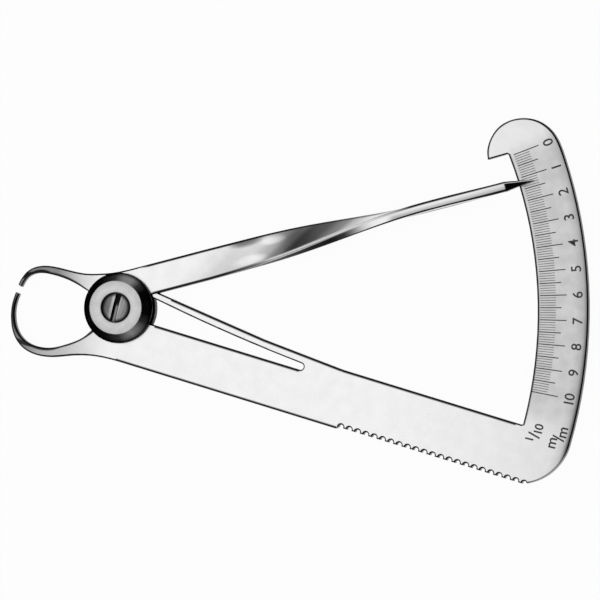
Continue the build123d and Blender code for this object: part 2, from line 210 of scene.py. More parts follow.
# Painted reflection: polished flats stay light, and the rounded edges round them are painted dark
# for the dark surroundings they reflect
def makeEdgeShade():
    tree, given, result = newGroup(
        "edgeShade",
        [
            ("Flat Colour", "NodeSocketColor", grey(245)),
            ("Edge Colour", "NodeSocketColor", grey(40)),
            ("Upright", "NodeSocketFloat", 1.0),
            ("Lean Start", "NodeSocketFloat", 0.9985),
            ("Lean Full", "NodeSocketFloat", 0.975),
        ],
        [("Colour", "NodeSocketColor"), ("Edge", "NodeSocketFloat")],
    )
    upright, start, full = (given.outputs[name] for name in ("Upright", "Lean Start", "Lean Full"))
    edge = fade(tree, upright, start, full)
    colour = mixColour(tree, edge, given.outputs["Flat Colour"], given.outputs["Edge Colour"])
    tree.links.new(colour, result.inputs["Colour"])
    tree.links.new(edge, result.inputs["Edge"])
    return tree


# A dark line painted along a straight edge, from its start to its end: painted reflection on the
# rounded edge
def makeEdgeLine():
    tree, given, result = newGroup(
        "edgeLine",
        [
            ("Along", "NodeSocketVector", (1, 0, 0)),
            ("Across", "NodeSocketVector", (0, 1, 0)),
            ("Reach", "NodeSocketFloat", 0.0),
            ("Start", "NodeSocketFloat", 0.0),
            ("End", "NodeSocketFloat", 0.01),
            ("Width", "NodeSocketFloat", 0.0004),
        ],
        [("Mask", "NodeSocketFloat")],
    )
    place = addNode(tree, "ShaderNodeTexCoord")
    measured = []
    for label in ("Along", "Across"):
        dot = addNode(tree, "ShaderNodeVectorMath", operation="DOT_PRODUCT")
        tree.links.new(place.outputs["Object"], dot.inputs[0])
        tree.links.new(given.outputs[label], dot.inputs[1])
        measured.append(dot.outputs["Value"])
    off = calculate(tree, "SUBTRACT", measured[1], given.outputs["Reach"])
    away = calculate(tree, "ABSOLUTE", off)
    half = calculate(tree, "MULTIPLY", given.outputs["Width"], 0.5)
    mask = both(
        tree,
        fade(tree, away, given.outputs["Width"], half),
        calculate(tree, "GREATER_THAN", measured[0], given.outputs["Start"]),
        calculate(tree, "LESS_THAN", measured[0], given.outputs["End"]),
    )
    tree.links.new(mask, result.inputs["Mask"])
    return tree


# The same painted dark line along a curved edge, struck from a centre
def makeEdgeBow():
    tree, given, result = newGroup(
        "edgeBow",
        [
            ("Centre", "NodeSocketVector", (0, 0, 0)),
            ("Radius", "NodeSocketFloat", 0.01),
            ("Width", "NodeSocketFloat", 0.0004),
        ],
        [("Mask", "NodeSocketFloat")],
    )
    place = addNode(tree, "ShaderNodeTexCoord")
    flat = addNode(tree, "ShaderNodeVectorMath", {1: (1, 1, 0)}, operation="MULTIPLY")
    tree.links.new(place.outputs["Object"], flat.inputs[0])
    away = addNode(tree, "ShaderNodeVectorMath", operation="DISTANCE")
    tree.links.new(flat.outputs[0], away.inputs[0])
    tree.links.new(given.outputs["Centre"], away.inputs[1])
    off = calculate(tree, "SUBTRACT", away.outputs["Value"], given.outputs["Radius"])
    half = calculate(tree, "MULTIPLY", given.outputs["Width"], 0.5)
    mask = fade(tree, calculate(tree, "ABSOLUTE", off), given.outputs["Width"], half)
    tree.links.new(mask, result.inputs["Mask"])
    return tree


# Fine lines left by the grinding belt, along one direction of the plate
def makeBeltGrain():
    tree, given, result = newGroup(
        "beltGrain",
        [
            ("Turn", "NodeSocketVector", (0, 0, 0)),
            ("Fineness", "NodeSocketFloat", 9000.0),
            ("Stretch", "NodeSocketFloat", 0.05),
        ],
        [("Grain", "NodeSocketFloat")],
    )
    place = addNode(tree, "ShaderNodeTexCoord")
    turned = addNode(tree, "ShaderNodeVectorRotate", rotation_type="EULER_XYZ")
    tree.links.new(place.outputs["Object"], turned.inputs["Vector"])
    tree.links.new(given.outputs["Turn"], turned.inputs["Rotation"])
    split = addNode(tree, "ShaderNodeSeparateXYZ")
    tree.links.new(turned.outputs[0], split.inputs[0])
    joined = addNode(tree, "ShaderNodeCombineXYZ")
    squeezed = calculate(tree, "MULTIPLY", split.outputs["X"], given.outputs["Stretch"])
    tree.links.new(squeezed, joined.inputs["X"])
    tree.links.new(split.outputs["Y"], joined.inputs["Y"])
    tree.links.new(split.outputs["Z"], joined.inputs["Z"])
    noise = addNode(tree, "ShaderNodeTexNoise", {"Detail": 3.0, "Roughness": 0.6})
    tree.links.new(joined.outputs[0], noise.inputs["Vector"])
    tree.links.new(given.outputs["Fineness"], noise.inputs["Scale"])
    tree.links.new(noise.outputs["Fac"], result.inputs["Grain"])
    return tree


# Soft cloudy changes from handling and cleaning, darker by up to the depth
def makeHandling():
    tree, given, result = newGroup(
        "handling",
        [
            ("Colour", "NodeSocketColor", grey(245)),
            ("Size", "NodeSocketFloat", 300.0),
            ("Depth", "NodeSocketFloat", 0.1),
        ],
        [("Colour", "NodeSocketColor")],
    )
    place = addNode(tree, "ShaderNodeTexCoord")
    noise = addNode(tree, "ShaderNodeTexNoise", {"Detail": 4.0, "Roughness": 0.55})
    tree.links.new(place.outputs["Object"], noise.inputs["Vector"])
    tree.links.new(given.outputs["Size"], noise.inputs["Scale"])
    cloud = fade(tree, noise.outputs["Fac"], 0.3, 0.7)
    share = calculate(tree, "MULTIPLY", cloud, given.outputs["Depth"])
    tree.links.new(
        mixColour(tree, share, given.outputs["Colour"], grey(0)), result.inputs["Colour"]
    )
    return tree


# Rings of the lathe tool about the pivot
def makeTurnedRings():
    tree, given, result = newGroup(
        "turnedRings",
        [
            ("Rings Per Metre", "NodeSocketFloat", 5000.0),
            ("Wobble", "NodeSocketFloat", 0.02),
        ],
        [("Rings", "NodeSocketFloat")],
    )
    place = addNode(tree, "ShaderNodeGroup", node_tree=partPlace)
    scaled = calculate(tree, "MULTIPLY", place.outputs["Radius"], given.outputs["Rings Per Metre"])
    around = addNode(tree, "ShaderNodeCombineXYZ")
    tree.links.new(scaled, around.inputs["X"])
    wobble = calculate(tree, "MULTIPLY", place.outputs["Bearing"], given.outputs["Wobble"])
    tree.links.new(wobble, around.inputs["Y"])
    noise = addNode(tree, "ShaderNodeTexNoise", {"Scale": 1.0, "Detail": 2.0, "Roughness": 0.6})
    tree.links.new(around.outputs[0], noise.inputs["Vector"])
    tree.links.new(noise.outputs["Fac"], result.inputs["Rings"])
    return tree


partPlace = makePartPlace()
partNormal = makePartNormal()
edgeShade = makeEdgeShade()
edgeLine = makeEdgeLine()
edgeBow = makeEdgeBow()
beltGrain = makeBeltGrain()
handling = makeHandling()
turnedRings = makeTurnedRings()
print("shader groups made")


# Places a group; its values are numbers, colours or sockets to link
def useGroup(tree, group, **values):
    node = addNode(tree, "ShaderNodeGroup", node_tree=group)
    for name, value in values.items():
        feed(tree, node.inputs[name.replace("_", " ")], value)
    return node


# The painted dark lines along all the named edges of a piece, curved and straight, as one mask
def edgeMask(tree, bows, lines=None, width=0.0):
    masks = []
    for turn, reach, start, end in (lines or {}).values():
        c, s = math.cos(math.radians(turn)), math.sin(math.radians(turn))
        masks.append(useGroup(
            tree, edgeLine, Along=(c, s, 0), Across=(-s, c, 0), Reach=reach * mm, Start=start * mm,
            End=end * mm, Width=width,
        ))
    for x, y, radius, bowWidth in bows.values():
        masks.append(useGroup(
            tree, edgeBow, Centre=(x * mm, y * mm, 0), Radius=radius * mm, Width=bowWidth * mm
        ))
    result = masks[0].outputs["Mask"]
    for mask in masks[1:]:
        result = calculate(tree, "MAXIMUM", result, mask.outputs["Mask"])
    return result


def newMaterial(name, metallic, roughness):
    material = bpy.data.materials.new(name)
    material.use_nodes = True
    tree = material.node_tree
    tree.nodes.clear()
    finish = {"Metallic": metallic, "Roughness": roughness}
    shader = addNode(tree, "ShaderNodeBsdfPrincipled", finish)
    output = addNode(tree, "ShaderNodeOutputMaterial")
    tree.links.new(shader.outputs[0], output.inputs["Surface"])
    return material, tree, shader


def addBump(tree, shader, height, strength, distance):
    bump = addNode(tree, "ShaderNodeBump", {"Strength": strength, "Distance": distance})
    tree.links.new(height, bump.inputs["Height"])
    tree.links.new(bump.outputs[0], shader.inputs["Normal"])


def linkRoughness(tree, shader, value, low, high):
    tree.links.new(stretch(tree, value, (0.0, 1.0), (low, high)), shader.inputs["Roughness"])


# Satin steel of the graduated plate and the leaf spring, with painted shade and reflections in its
# colour
plateSet = {
    "roughness": (0.22, 0.34),
    "grainTurn": -17.0,
    "grainFineness": 7000.0,
    "grainStrength": 0.3,
    "grainDepth": 0.0006 * mm,
    "tones": [  # painted shade along the length: the lower jaw, the hub, the plate and its far corner
        (-19.5 * mm, 112),
        (-17.0 * mm, 136),
        (-14.5 * mm, 176),
        (-10.0 * mm, 196),
        (-6.0 * mm, 224),
        (-2.0 * mm, 246),
        (48.0 * mm, 246),
        (64.0 * mm, 239),
        (72.0 * mm, 233),
        (80.0 * mm, 222),
    ],
    # painted shade: the face of the arc is darker than the rest of the plate
    "arcShadeLevel": 208,
    "arcBearings": (-16.5, -12.5, 19.0, 22.0),
    "arcRadii": (73.6 * mm, 75.2 * mm),
    "rimShadeTones": [  # painted shade, darker towards the outer edge of the arc
        (81.3 * mm, 255),
        (82.4 * mm, 236),
        (82.8 * mm, 222),
        (83.1 * mm, 180),
        (83.4 * mm, 110),
    ],
    # painted reflection on the rounded edges: dark, and darker still where they face right
    "edgeShadeLeft": 48,
    "edgeShadeRight": 14,
    "edgeTurn": (-0.3, 0.3),
    "edgeWidth": 0.56 * mm,
    # painted reflection: the grey of the dark lines along the edges
    "outlineShadeLevel": 52,
    "lines": {  # painted dark lines on straight edges: turn, distance off the pivot, start and end, in millimetres
        "lowerEdge": (-17.0, -9.0, 2.0, 43.2),
        "slotLower": (-17.0, -1.06, 7.0, 34.0),
        "stripUpper": (-23.5, 5.15, 8.0, 26.2),
        "stripTaper": (-20.9, 3.967, 26.2, 41.2),
        "upperEdge": (-17.0, 1.15, 41.4, 73.6),
    },
    "bows": {  # painted dark lines on curved edges: the centre, the radius and the line's width, in millimetres
        "lowerJaw": (-13.0, -1.0, 5.87, 0.62),
        "lowerJawRun": (-12.9, 6.5, 13.15, 0.5),
    },
    # more painted dark edge lines: the inner arc and the two curves of the hook
    "innerBow": {"innerArc": (0, -1.1, 74.5, 0.5)},
    "innerBearings": ((-16.3, -15.9), (20.75, 20.6)),
    "hookNose": {"nose": (71.6, 26.4, 6.05, 0.5)},
    "hookBack": {"back": (71.9, 25.7, 6.81, 0.4)},
    "hookBearings": (21.0, 21.4),
    "hookMiddle": (69.0 * mm, 70.0 * mm),
    # painted reflection: the edge shading turns a lighter grey at the far lower corner
    "cornerBearings": (-17.0, -20.5),
    "cornerRadii": (78.8 * mm, 79.6 * mm),
    "cornerShadeLevel": 150,
    "cloudSize": 420.0,
    "cloudDepth": 0.05,
    "arcCloudDepth": 0.13,
    "markRadii": (74.9 * mm, 79.9 * mm),
    "markZero": 20.34,
    "markStep": 1.5925,
    "longMarkSpread": 0.1,
    "markLevels": (2.395 * mm, 2.465 * mm),
    "markTone": 70,
    "tenthTone": 104,
}


# Belt grain of the two arms, each ground along its own length
def addPlateGrain(tree, shader, turn):
    direction = (0, 0, math.radians(-turn))
    grain = useGroup(tree, beltGrain, Turn=direction, Fineness=plateSet["grainFineness"])
    linkRoughness(tree, shader, grain.outputs[0], *plateSet["roughness"])
    addBump(tree, shader, grain.outputs[0], plateSet["grainStrength"], plateSet["grainDepth"])


def makePlateSteel():
    material, tree, shader = newMaterial("plateSteel", 1.0, 0.3)
    place = useGroup(tree, partPlace)
    normal = useGroup(tree, partNormal)
    radius, bearing = place.outputs["Radius"], place.outputs["Bearing"]
    lowEnd, lowStart, highStart, highEnd = plateSet["arcBearings"]
    onArc = both(
        tree,
        fade(tree, bearing, lowEnd, lowStart),
        fade(tree, bearing, highEnd, highStart),
        fade(tree, radius, *plateSet["arcRadii"]),
    )
    # Painted shade: darker over the lower jaw and towards the far corner
    colour = toneOver(tree, place.outputs["X"], plateSet["tones"])
    # Painted shade on the face of the arc
    colour = mixColour(tree, onArc, colour, grey(plateSet["arcShadeLevel"]))
    extra = calculate(tree, "MULTIPLY", onArc, plateSet["arcCloudDepth"] - plateSet["cloudDepth"])
    cloud = useGroup(
        tree,
        handling,
        Colour=colour,
        Size=plateSet["cloudSize"],
        Depth=calculate(tree, "ADD", extra, plateSet["cloudDepth"]),
    )
    # Painted shade darkening towards the outer edge of the arc
    rim = toneOver(tree, radius, plateSet["rimShadeTones"])
    colour = mixColour(tree, 1.0, cloud.outputs["Colour"], rim, "MULTIPLY")
    # Painted reflection: rounded edges darker where they face right
    facingRight = fade(tree, normal.outputs["X"], *plateSet["edgeTurn"])
    edgeColour = mixColour(
        tree, facingRight, grey(plateSet["edgeShadeLeft"]), grey(plateSet["edgeShadeRight"])
    )
    onInner = both(
        tree,
        edgeMask(tree, plateSet["innerBow"]),
        *(fade(tree, bearing, *ends) for ends in plateSet["innerBearings"]),
    )
    onHook = fade(tree, bearing, *plateSet["hookBearings"])
    left, right = plateSet["hookMiddle"]
    onNose = both(
        tree,
        edgeMask(tree, plateSet["hookNose"]),
        fade(tree, place.outputs["X"], right, left),
        onHook,
    )
    onBack = both(
        tree,
        edgeMask(tree, plateSet["hookBack"]),
        fade(tree, place.outputs["X"], left, right),
        onHook,
    )
    # Painted dark lines along the edges, for their dark reflections
    onLine = edgeMask(tree, plateSet["bows"], plateSet["lines"], plateSet["edgeWidth"])
    for mask in (onInner, onNose, onBack):
        onLine = calculate(tree, "MAXIMUM", onLine, mask)
    colour = mixColour(tree, onLine, colour, grey(plateSet["outlineShadeLevel"]))
    # Painted reflection: lighter edge shading at the far corner
    onCorner = both(
        tree,
        fade(tree, bearing, *plateSet["cornerBearings"]),
        fade(tree, radius, *plateSet["cornerRadii"]),
    )
    edgeColour = mixColour(tree, onCorner, edgeColour, grey(plateSet["cornerShadeLevel"]))
    upright = normal.outputs["Upright"]
    edge = useGroup(tree, edgeShade, Flat_Colour=colour, Edge_Colour=edgeColour, Upright=upright)
    inMark = both(
        tree,
        calculate(tree, "GREATER_THAN", radius, plateSet["markRadii"][0]),
        calculate(tree, "LESS_THAN", radius, plateSet["markRadii"][1]),
        calculate(tree, "GREATER_THAN", place.outputs["Z"], plateSet["markLevels"][0]),
        calculate(tree, "LESS_THAN", place.outputs["Z"], plateSet["markLevels"][1]),
    )
    fromZero = calculate(tree, "SUBTRACT", plateSet["markZero"], bearing)
    steps = calculate(tree, "DIVIDE", fromZero, plateSet["markStep"])
    fromLong = calculate(tree, "PINGPONG", steps, 0.5)
    onLong = calculate(tree, "LESS_THAN", fromLong, plateSet["longMarkSpread"])
    markColour = mixColour(tree, onLong, grey(plateSet["tenthTone"]), grey(plateSet["markTone"]))
    colour = mixColour(tree, inMark, edge.outputs["Colour"], markColour)
    tree.links.new(colour, shader.inputs["Base Color"])
    addPlateGrain(tree, shader, plateSet["grainTurn"])
    return material


# Steel of the pointer arm, with painted reflections and shade for its quarter twist
pointerSet = {
    "turn": 13.9,
    "middle": 3.45 * mm,
    "twist": (17.0 * mm, 59.0 * mm),
    "rise": (17.0 * mm, 36.74 * mm),
    "riseLevels": (1.675 * mm, 2.575 * mm),
    "halfWidths": (2.65 * mm, 2.1 * mm),
    "halfThickness": 0.825 * mm,
    "lean": (0.9985, 0.975),
    "outline": (0.54 * mm, 0.32 * mm),
    "outlineStart": (5.0 * mm, 7.0 * mm),
    "leastSlant": 0.22,
    "jawStart": (-4.5 * mm, -6.0 * mm),
    "bows": {  # painted dark line on the inner edge of the upper jaw
        "upperJawRun": (-14.4, -6.6, 12.65, 0.62),
        "upperJawBend": (-14.0, 3.2, 3.2, 0.55),
    },
    "jawShadeTones": [  # painted shade along X, from the tip of the upper jaw to the hub
        (-18.0 * mm, 122),
        (-11.0 * mm, 138),
        (-9.0 * mm, 176),
        (-6.5 * mm, 216),
        (-3.0 * mm, 244),
        (0.0 * mm, 246),
    ],
    "faceReflectionTones": [  # painted reflections along the arm, over the flat and into the twist
        (13.0 * mm, 246),
        (17.0 * mm, 234),
        (21.0 * mm, 217),
        (25.0 * mm, 205),
        (29.0 * mm, 178),
        (32.0 * mm, 128),
        (34.5 * mm, 80),
        (37.5 * mm, 84),
        (41.0 * mm, 122),
        (44.0 * mm, 190),
        (47.0 * mm, 228),
    ],
    "slant": 1.6,
    "patches": {  # reflections: the middle and half size along and across, and the level
        "dark": ((24.8 * mm, 5.7 * mm), (3.4 * mm, 1.1 * mm), 118),
        "light": ((29.5 * mm, 4.7 * mm), (2.4 * mm, 0.8 * mm), 232),
        "low": ((24.6 * mm, 2.3 * mm), (3.4 * mm, 0.9 * mm), 226),
    },
    "patchFade": 1.3,
    "cloudSize": 380.0,
    "cloudDepth": 0.06,
    "wallReflectionTones": [  # painted reflections on the lower edge as it turns to face up
        (20.0 * mm, 42),
        (40.0 * mm, 44),
        (42.5 * mm, 82),
        (44.0 * mm, 150),
        (46.0 * mm, 218),
        (48.0 * mm, 245),
        (62.0 * mm, 240),
        (72.0 * mm, 226),
    ],
    "ridgeHighlightTones": [  # painted highlight on the corner between the face and that edge
        (20.0 * mm, 40),
        (25.0 * mm, 110),
        (29.0 * mm, 205),
        (48.0 * mm, 214),
        (52.0 * mm, 170),
        (55.0 * mm, 44),
    ],
    # painted reflection: the dark outline on the arm's rounded edges
    "edgeShadeLevel": 34,
    "shadeSide": {"along": (50.0 * mm, 52.0 * mm), "across": (3.8 * mm, 2.7 * mm), "level": 172},
    "ridgeFace": (0.0, 0.1),
    "ridgeSide": (0.02, -0.08),
    # painted reflection: the tip's bevel is dark, with a painted highlight line
    "tipStart": 72.0 * mm,
    "tipBlur": 0.15 * mm,
    "tipShadeLevel": 16,
    "tipShine": {"start": 3.86 * mm, "slope": -0.125, "halfWidth": 0.1 * mm, "level": 205},
}


# Place along and across the arm, and the surface's direction measured in the twisted arm:
# Face is 1 on the scale side of the strip, Side is -1 on the edge that turns to face up
def makeArmFrame():
    labels = ("Along", "Across", "Face", "Side", "Lower", "From Edge", "Middle Side")
    tree, given, result = newGroup("armFrame", [], floatSockets(labels))
    c = math.cos(math.radians(pointerSet["turn"]))
    s = math.sin(math.radians(pointerSet["turn"]))

    def turned(source, first, second):
        x = calculate(tree, "MULTIPLY", source.outputs["X"], first)
        y = calculate(tree, "MULTIPLY", source.outputs["Y"], second)
        return calculate(tree, "ADD", x, y)

    place = useGroup(tree, partPlace)
    normal = useGroup(tree, partNormal)
    along = turned(place, c, s)
    quarter = math.pi / 2
    eased = calculate(tree, "SINE", stretch(tree, along, pointerSet["twist"], (0.0, quarter)))
    twist = calculate(tree, "MULTIPLY", calculate(tree, "MULTIPLY", eased, eased), quarter)
    cosine, sine = calculate(tree, "COSINE", twist), calculate(tree, "SINE", twist)

    # Turns two measures, across and up, with the twist: out of the face, and along its width
    def twisted(across, up):
        outwards = calculate(
            tree,
            "ADD",
            calculate(tree, "MULTIPLY", across, sine),
            calculate(tree, "MULTIPLY", up, cosine),
        )
        sideways = calculate(
            tree,
            "SUBTRACT",
            calculate(tree, "MULTIPLY", across, cosine),
            calculate(tree, "MULTIPLY", up, sine),
        )
        return outwards, sideways

    face, side = twisted(turned(normal, -s, c), normal.outputs["Z"])
    squares = [calculate(tree, "MULTIPLY", value, value) for value in (face, side)]
    length = calculate(tree, "SQRT", calculate(tree, "ADD", *squares))
    face, side = (calculate(tree, "DIVIDE", value, length) for value in (face, side))
    across = turned(place, -s, c)
    aside = calculate(tree, "SUBTRACT", across, pointerSet["middle"])
    level = stretch(tree, along, pointerSet["rise"], pointerSet["riseLevels"])
    width = stretch(tree, along, pointerSet["twist"], pointerSet["halfWidths"])
    inside, upper = twisted(aside, calculate(tree, "SUBTRACT", place.outputs["Z"], level))
    fromEdge = calculate(tree, "SUBTRACT", width, calculate(tree, "ABSOLUTE", upper))
    lower = calculate(tree, "LESS_THAN", upper, 0.0)
    # The far edge is seen at a slant, so its painted dark line is wider there
    slant = calculate(tree, "MAXIMUM", cosine, pointerSet["leastSlant"])
    fromEdge = calculate(tree, "MULTIPLY", fromEdge, calculate(tree, "MAXIMUM", slant, lower))
    values = (along, across, face, side, lower, fromEdge, inside)
    for label, value in zip(labels, values):
        tree.links.new(value, result.inputs[label])
    return tree


armFrame = makeArmFrame()


# A soft oval patch for a painted reflection on the arm: 1 in its middle, 0 outside it
def patchMask(tree, arm, middles, sizes):
    parts = []
    for label, middle, size in zip(("Along", "Across"), middles, sizes):
        away = calculate(tree, "SUBTRACT", arm.outputs[label], middle)
        scaled = calculate(tree, "DIVIDE", away, size)
        parts.append(calculate(tree, "MULTIPLY", scaled, scaled))
    return fade(tree, calculate(tree, "ADD", *parts), pointerSet["patchFade"], 0.0)


def makePointerSteel():
    material, tree, shader = newMaterial("pointerSteel", 1.0, 0.3)
    place = useGroup(tree, partPlace)
    arm = useGroup(tree, armFrame)
    along, across = arm.outputs["Along"], arm.outputs["Across"]
    face, side = arm.outputs["Face"], arm.outputs["Side"]
    # Painted reflections over the face of the arm and its twist
    aside = calculate(tree, "SUBTRACT", across, pointerSet["middle"])
    slanted = calculate(tree, "MULTIPLY", aside, -pointerSet["slant"])
    shifted = calculate(tree, "ADD", along, slanted)
    faceTone = toneOver(tree, shifted, pointerSet["faceReflectionTones"], "EASE")
    for middles, sizes, patchLevel in pointerSet["patches"].values():
        patch = patchMask(tree, arm, middles, sizes)
        faceTone = mixColour(tree, patch, faceTone, grey(patchLevel))
    # Painted shade darkening the upper jaw towards its tip
    jawTone = toneOver(tree, place.outputs["X"], pointerSet["jawShadeTones"])
    faceTone = mixColour(tree, 1.0, faceTone, jawTone, "DARKEN")
    size, depth = pointerSet["cloudSize"], pointerSet["cloudDepth"]
    cloud = useGroup(tree, handling, Colour=faceTone, Size=size, Depth=depth)

    shade = pointerSet["shadeSide"]
    shaded = both(tree, fade(tree, across, *shade["across"]), fade(tree, along, *shade["along"]))
    # Painted reflections on the turned-up edge
    wallTone = toneOver(tree, along, pointerSet["wallReflectionTones"])
    wallTone = mixColour(tree, shaded, wallTone, grey(shade["level"]))
    # Painted highlight on the ridge
    ridgeTone = toneOver(tree, along, pointerSet["ridgeHighlightTones"])

    # Painted reflections from the face over the ridge to the turned-up edge, with painted dark rims
    # elsewhere
    leanStart, leanFull = pointerSet["lean"]
    offFace = fade(tree, calculate(tree, "ABSOLUTE", face), leanStart, leanFull)
    onWall = fade(tree, side, -leanFull, -leanStart)
    onRidge = both(
        tree,
        fade(tree, face, *pointerSet["ridgeFace"]),
        fade(tree, side, *pointerSet["ridgeSide"]),
    )
    edgeTone = grey(pointerSet["edgeShadeLevel"])
    rim = mixColour(tree, onRidge, edgeTone, ridgeTone)
    flatRim = mixColour(tree, arm.outputs["Lower"], edgeTone, ridgeTone)
    # Painted dark line near the edges of the face
    nearEdge = both(
        tree,
        fade(tree, arm.outputs["From Edge"], *pointerSet["outline"]),
        fade(tree, along, *pointerSet["outlineStart"]),
    )
    colour = mixColour(tree, nearEdge, cloud.outputs["Colour"], flatRim)
    # Painted dark line along the inner edge of the upper jaw
    onBow = both(
        tree,
        edgeMask(tree, pointerSet["bows"]),
        fade(tree, place.outputs["X"], *pointerSet["jawStart"]),
    )
    colour = mixColour(tree, onBow, colour, edgeTone)
    colour = mixColour(tree, offFace, colour, rim)
    inside = arm.outputs["Middle Side"]
    fromMiddle = calculate(tree, "ABSOLUTE", inside)
    fromFace = calculate(tree, "SUBTRACT", pointerSet["halfThickness"], fromMiddle)
    # The lower side is painted dark below its rim, so its painted line is thin
    below = calculate(tree, "LESS_THAN", inside, 0.0)
    fromRim = calculate(tree, "MULTIPLY", fromFace, calculate(tree, "ADD", below, 1.0))
    above = calculate(tree, "GREATER_THAN", inside, 0.0)
    wallRim = mixColour(tree, above, edgeTone, ridgeTone)
    onRim = fade(tree, fromRim, *pointerSet["outline"])
    wallTone = mixColour(tree, onRim, wallTone, wallRim)
    colour = mixColour(tree, onWall, colour, wallTone)

    # The tip is painted dark as a painted reflection, with one painted highlight line along its
    # upper edge
    shine, tipStart, blur = pointerSet["tipShine"], pointerSet["tipStart"], pointerSet["tipBlur"]
    fromStart = calculate(tree, "SUBTRACT", along, tipStart)
    drop = calculate(tree, "MULTIPLY", fromStart, shine["slope"])
    line = calculate(tree, "SUBTRACT", calculate(tree, "SUBTRACT", across, shine["start"]), drop)
    onLine = fade(tree, calculate(tree, "ABSOLUTE", line), shine["halfWidth"], 0.0)
    tip = mixColour(tree, onLine, grey(pointerSet["tipShadeLevel"]), grey(shine["level"]))
    onTip = fade(tree, along, tipStart - blur, tipStart + blur)
    colour = mixColour(tree, onTip, colour, tip)
    tree.links.new(colour, shader.inputs["Base Color"])
    addPlateGrain(tree, shader, pointerSet["turn"])
    return material


# Turned steel of the two discs, with painted reflections and shade round the top, bevel and rim
discSet = {
    "topShadeTones": [  # painted shade outwards over the flat top, from the painted shadow ring at the counterbore
        (2.55 * mm, 110),
        (2.85 * mm, 217),
        (3.4 * mm, 224),
        (4.2 * mm, 214),
        (4.7 * mm, 200),
    ],
    "bevelReflectionTones": [  # painted reflections round the bevel, by bearing
        (-180, 64),
        (-160, 78),
        (-140, 46),
        (-105, 56),
        (-85, 66),
        (-60, 140),
        (-45, 126),
        (-28, 60),
        (-12, 22),
        (30, 20),
        (45, 62),
        (60, 142),
        (75, 140),
        (92, 78),
        (110, 66),
        (135, 52),
        (155, 62),
        (180, 64),
    ],
    # painted shade on the disc's rim wall
    "rimWallShadeLevel": 20,
    "rimShine": 150,
    # painted shade and light on the rear disc's edge: dark inside, light at its rim
    "rearShadingTones": [(5.95 * mm, 20), (6.15 * mm, 235)],
    "grazeTint": 30,
    # painted shade, darker towards the outer edge of the bevel
    "outerShadeTones": [(5.45 * mm, 255), (5.8 * mm, 200), (6.0 * mm, 90), (6.15 * mm, 50)],
    "bevelLean": (0.95, 0.7),
    "glintLean": (0.55, 0.4),
    "glintSide": (0.2, 0.6),
    "rimLean": (0.3, 0.12),
    "rearTop": (2.5 * mm, 2.4 * mm),
    "streakSize": 900.0,
    "streakDepth": 0.1,
    "ringsPerMetre": 9000.0,
    "ringShade": 0.28,
    "ringStrength": 0.4,
    "ringDepth": 0.003 * mm,
    "roughness": (0.2, 0.36),
}


def makeDiscSteel():
    material, tree, shader = newMaterial("turnedSteel", 1.0, 0.25)
    place = useGroup(tree, partPlace)
    normal = useGroup(tree, partNormal)
    upright = normal.outputs["Upright"]
    rings = useGroup(tree, turnedRings, Rings_Per_Metre=discSet["ringsPerMetre"])
    # Painted shade on the flat top, with a painted shadow ring at the counterbore
    top = toneOver(tree, place.outputs["Radius"], discSet["topShadeTones"])
    # Painted reflections round the bevel by bearing
    bevel = toneOver(tree, place.outputs["Bearing"], discSet["bevelReflectionTones"])
    # Painted shade darkening the bevel towards its outer edge
    outer = toneOver(tree, place.outputs["Radius"], discSet["outerShadeTones"])
    bevel = mixColour(tree, 1.0, bevel, outer, "MULTIPLY")
    colour = mixColour(tree, fade(tree, upright, *discSet["bevelLean"]), top, bevel)
    glint = both(
        tree,
        fade(tree, upright, *discSet["glintLean"]),
        fade(tree, normal.outputs["X"], *discSet["glintSide"]),
    )
    colour = mixColour(tree, glint, colour, grey(discSet["rimShine"]))
    # Painted shade on the rim wall
    onRim = fade(tree, upright, *discSet["rimLean"])
    colour = mixColour(tree, onRim, colour, grey(discSet["rimWallShadeLevel"]))
    # Painted shade and light on the rear disc's edge
    onRear = fade(tree, place.outputs["Z"], *discSet["rearTop"])
    rear = toneOver(tree, place.outputs["Radius"], discSet["rearShadingTones"])
    colour = mixColour(tree, onRear, colour, rear)
    shader.inputs["Specular Tint"].default_value = grey(discSet["grazeTint"])
    size, depth = discSet["streakSize"], discSet["streakDepth"]
    streak = useGroup(tree, handling, Colour=colour, Size=size, Depth=depth)
    depth = calculate(tree, "MULTIPLY", rings.outputs["Rings"], discSet["ringShade"])
    colour = mixColour(tree, depth, streak.outputs["Colour"], grey(0))
    tree.links.new(colour, shader.inputs["Base Color"])
    linkRoughness(tree, shader, rings.outputs["Rings"], *discSet["roughness"])
    addBump(tree, shader, rings.outputs["Rings"], discSet["ringStrength"], discSet["ringDepth"])
    return material


